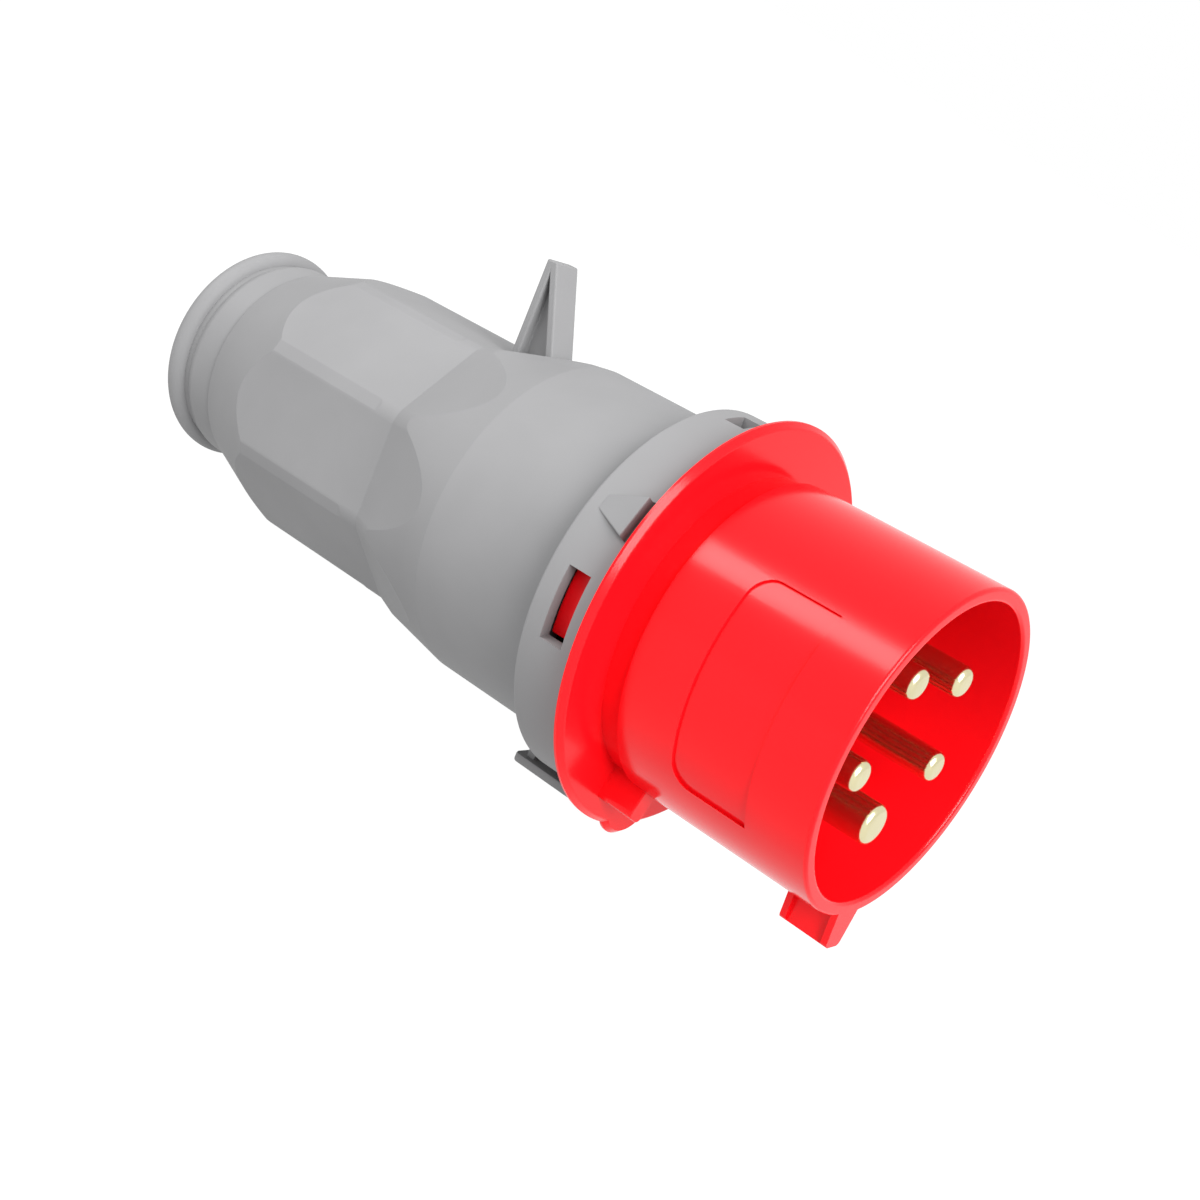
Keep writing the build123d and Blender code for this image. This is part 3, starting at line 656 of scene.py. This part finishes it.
def pointerPiece():
    # A wedge that falls and narrows rearwards
    half = pointer["frontWidth"] / 2
    root = housing["collarRadius"] - pointer["root"]
    ramp = block("pointer", (pointer["rear"], -half, root),
                 (pointer["front"], half, housing["collarRadius"] + pointer["rise"]))
    openPiece(ramp)
    pick("VERT", lambda at, way: at.x < pointer["rear"] + close and at.z > root + close)
    bpy.ops.transform.translate(value=(0, 0, -pointer["rise"]))
    pick("VERT", lambda at, way: at.x < pointer["rear"] + close)
    bpy.ops.transform.resize(value=(1, pointer["rearWidth"] / pointer["frontWidth"], 1))
    closePiece()
    return swung(softenEdges(ramp, pointer["edgeRound"], pointer["edgeAngle"]), pointer["angle"] - 90)


def pointerSlot():
    # The groove across the collar in front of the pointer
    half = pointer["frontWidth"] / 2
    slot = block("slot", (pointer["front"], -half, housing["collarRadius"] - pointer["slotDepth"]),
                 (pointer["front"] + pointer["slot"], half, housing["collarRadius"] + overrun))
    return swung(slot, pointer["angle"] - 90)


latch = {
    "pivotX": -53.0, "pivotZ": -38.8, "knuckle": 1.5, "knuckleRoom": 0.3, "lugHalf": 4.4, "lugInner": 2.0,
    "lugSink": 0.6, "springRoom": 3.0, "pin": 0.9, "pinGap": 0.05, "pinHalf": 8.6, "sides": 48,
    "half": 11.0, "rear": -70.3, "front": -48.3, "thick": 1.8, "corner": 1.5, "cornerSteps": 6,
    "edgeRound": 0.35, "edgeAngle": 40.0, "lipFromRear": 2.0, "lipLength": 2.0, "lipHeight": 2.2,
    "lipRound": 0.3,
}


def crossBar(name, radius, half):
    # A round bar across the plug, on the latch's pivot
    return rod(name, radius, 2 * half, (latch["pivotX"], 0, latch["pivotZ"]), (math.pi / 2, 0, 0),
               latch["sides"])


def latchKnuckles():
    # The housing's two lugs that hold the latch's pin, with the spring's room between them
    top = -housing["collarBore"] - latch["lugSink"]
    stem = block("knuckles", (latch["pivotX"] - latch["knuckle"], -latch["lugHalf"], latch["pivotZ"]),
                 (latch["pivotX"] + latch["knuckle"], latch["lugHalf"], top))
    combine(stem, crossBar("eye", latch["knuckle"], latch["lugHalf"]), "UNION")
    reach = latch["springRoom"]
    room = block("spring room", (latch["pivotX"] - reach, -latch["lugInner"], latch["pivotZ"] - reach),
                 (latch["pivotX"] + reach, latch["lugInner"], housing["pocket"]))
    return combine(stem, room, "DIFFERENCE")


def windowCutter(front, rear, halfAngle, angle):
    inside = housing["collarBore"] - overrun
    outside = housing["collarRadius"] + overrun
    return spun("window", [(front, inside), (front, outside), (rear, outside), (rear, inside)],
                turn=2 * halfAngle, start=angle - halfAngle)


def latchPocket():
    return block("pocket",
                 (housing["collarEnd"] - overrun, -housing["latchHalf"], -housing["collarRadius"] - overrun),
                 (housing["front"] + overrun, housing["latchHalf"], housing["pocket"]))


def housingPiece():
    piece = combine(housingOutside(), facetedEnvelope(), "INTERSECT")
    combine(piece, finPiece(), "UNION")
    combine(piece, housingHollow(), "DIFFERENCE")
    combine(piece, latchPocket(), "DIFFERENCE")
    combine(piece, pointerPiece(), "UNION")
    combine(piece, pointerSlot(), "DIFFERENCE")
    combine(piece, latchKnuckles(), "UNION")
    for angle in (0.0, 180.0):
        combine(piece, windowCutter(*housing["sideWindow"], angle), "DIFFERENCE")
    combine(piece, windowCutter(*housing["topWindow"], housing["topWindowAngle"]), "DIFFERENCE")
    return combine(piece, crossBar("pin hole", latch["pin"], latch["pinHalf"]), "DIFFERENCE")


layDown(housingPiece(), finishes["grey_plastic"], "rear_housing", ["rear_housing"],
        housing["smooth"])


# The release latch

def latchPiece():
    half = latch["half"]
    top = latch["pivotZ"] + latch["thick"] / 2
    plate = block("latchLever", (latch["rear"], -half, top - latch["thick"]), (latch["front"], half, top))
    openPiece(plate)
    pick("EDGE", lambda at, way: abs(way.z) > straight and at.x < latch["rear"] + close)
    bpy.ops.mesh.bevel(offset=latch["corner"], segments=latch["cornerSteps"], affect="EDGES")
    closePiece()
    softenEdges(plate, latch["edgeRound"], latch["edgeAngle"])
    narrow = half - latch["corner"]
    lipRear = latch["rear"] + latch["lipFromRear"]
    lip = block("lip", (lipRear, -narrow, top - sink),
                (lipRear + latch["lipLength"], narrow, top + latch["lipHeight"]))
    combine(plate, softenEdges(lip, latch["lipRound"], latch["edgeAngle"]), "UNION")
    combine(plate, crossBar("knuckle", latch["knuckle"], narrow), "UNION")
    reach = latch["knuckle"] + latch["knuckleRoom"]
    clear = latch["lugHalf"] + latch["knuckleRoom"]
    combine(plate, block("room", (latch["pivotX"] - reach, -clear, latch["pivotZ"] - reach),
                         (latch["pivotX"] + reach, clear, latch["pivotZ"] + reach)), "DIFFERENCE")
    return combine(plate, crossBar("bore", latch["pin"] + latch["pinGap"], half), "DIFFERENCE")


layDown(latchPiece(), finishes["grey_plastic"], "release_latch", ["release_latch"])


# The gland nut with its rolled bead

nut = {
    "front": -168.62, "neckRadius": 22.5, "neckEnd": -175.6, "neckRound": 0.8, "grooveFront": -176.9,
    "grooveRadius": 21.7, "bead": 2.3, "beadX": -180.6, "beadRing": 21.5, "beadSteps": 28, "rear": -182.0,
    "bore": 13.0, "lipFront": -178.8, "thread": 19.1, "edgeRound": 0.3, "smooth": 25.0,
}


def beadArc():
    # The bead's outline, from the groove round to the rear face
    begin = math.degrees(math.asin((nut["grooveRadius"] - nut["beadRing"]) / nut["bead"]))
    end = 180 + math.degrees(math.acos((nut["beadX"] - nut["rear"]) / nut["bead"]))
    arc = []
    for step in range(nut["beadSteps"] + 1):
        angle = math.radians(begin + (end - begin) * step / nut["beadSteps"])
        arc.append((nut["beadX"] + nut["bead"] * math.cos(angle),
                    nut["beadRing"] + nut["bead"] * math.sin(angle)))
    return arc


def nutPiece():
    frontEdge = (nut["front"], nut["neckRadius"])
    shoulder = (nut["neckEnd"], nut["neckRadius"])
    cableHole = (nut["rear"], nut["bore"])
    outline = [
        (nut["front"], nut["thread"]), frontEdge, shoulder, (nut["grooveFront"], nut["grooveRadius"]),
        *beadArc(), cableHole, (nut["lipFront"], nut["bore"]), (nut["lipFront"], nut["thread"])]
    return spun("beadedNut", outline, [
        (nut["neckRound"], [shoulder]), (nut["edgeRound"], [frontEdge, cableHole])])


layDown(nutPiece(), finishes["grey_plastic"], "gland_nut", ["gland_nut"], nut["smooth"])


# Inner pieces keep their solids and take the finishes

for part in frame["record"]["subparts"]:
    node = frame["nodes"][part["node"]]
    node.data.materials.clear()
    node.data.materials.append(finishes[part["material_slot"]])
print("inner pieces finished")


# Floor, light and camera

studio = {
    "floor": 60.0, "floorShade": 0.05, "floorRoughness": 0.9, "floorGlow": 1.0, "world": 1.0,
    "aim": (-80, 0, 0),
}
softboxes = {
    "front softbox": {
        "way": (0.814, -0.35, 0.46), "distance": 1.5, "width": 1.0, "height": 1.0, "brightness": 12.6},
    "top strip": {
        "way": (-0.5, -0.48, 0.70), "distance": 1.3, "width": 1.0, "height": 0.36, "brightness": 11.0},
}


def paleFloor():
    bpy.ops.mesh.primitive_plane_add(size=studio["floor"])
    floor = bpy.context.object
    floor.name = "floor"
    material, shader = newMaterial("pale floor")
    feed(shader, "Base Color", [studio["floorShade"]] * 3 + [1.0])
    feed(shader, "Roughness", studio["floorRoughness"])
    feed(shader, "Specular IOR Level", 0.0)
    feed(shader, "Emission Color", (1.0, 1.0, 1.0, 1.0))
    feed(shader, "Emission Strength", studio["floorGlow"])
    floor.data.materials.append(material)


def softbox(name, way, distance, width, height, brightness):
    # An area light that looks at the plug's middle from a direction on the plug's own axes, with its
    # width along the plug
    toLight = (plugFrame.to_3x3() @ Vector(way)).normalized()
    along = (forward - toLight * forward.dot(toLight)).normalized()
    turn = Matrix((along, toLight.cross(along), toLight)).transposed().to_euler()
    spot = plugFrame @ (Vector(studio["aim"]) * mm) + toLight * distance
    bpy.ops.object.light_add(type="AREA", location=spot, rotation=turn)
    light = bpy.context.object
    light.name = name
    light.data.shape = "RECTANGLE"
    light.data.size = width
    light.data.size_y = height
    light.data.energy = brightness * math.pi * width * height


def evenWorld():
    world = bpy.data.worlds.new("studio")
    bpy.context.scene.world = world
    world.use_nodes = True
    world.node_tree.nodes["Background"].inputs["Color"].default_value = (1, 1, 1, 1)
    world.node_tree.nodes["Background"].inputs["Strength"].default_value = studio["world"]


paleFloor()
for lightName, settings in softboxes.items():
    softbox(lightName, **settings)
evenWorld()
bpy.context.scene.view_settings.view_transform = "Standard"

# The photograph's own viewpoint, on the plug's axes
eye = {
    "place": (109.9, -287.48, 78.38), "view": (-0.5201, 0.8190, -0.2424), "right": (0.7265, 0.5734, 0.3787),
    "lens": 54.70, "sensor": 36.0, "nearest": 0.01,
}


def photographCamera():
    look = Vector(eye["view"]).normalized()
    right = (Vector(eye["right"]) - look * look.dot(Vector(eye["right"]))).normalized()
    turn = Matrix((right, right.cross(look), -look)).transposed().to_4x4()
    turn.translation = Vector(eye["place"]) * mm
    bpy.ops.object.camera_add()
    camera = bpy.context.object
    camera.matrix_world = plugFrame @ turn
    camera.data.lens = eye["lens"]
    camera.data.sensor_width = eye["sensor"]
    camera.data.clip_start = eye["nearest"]
    bpy.context.scene.camera = camera


photographCamera()
print("studio set")
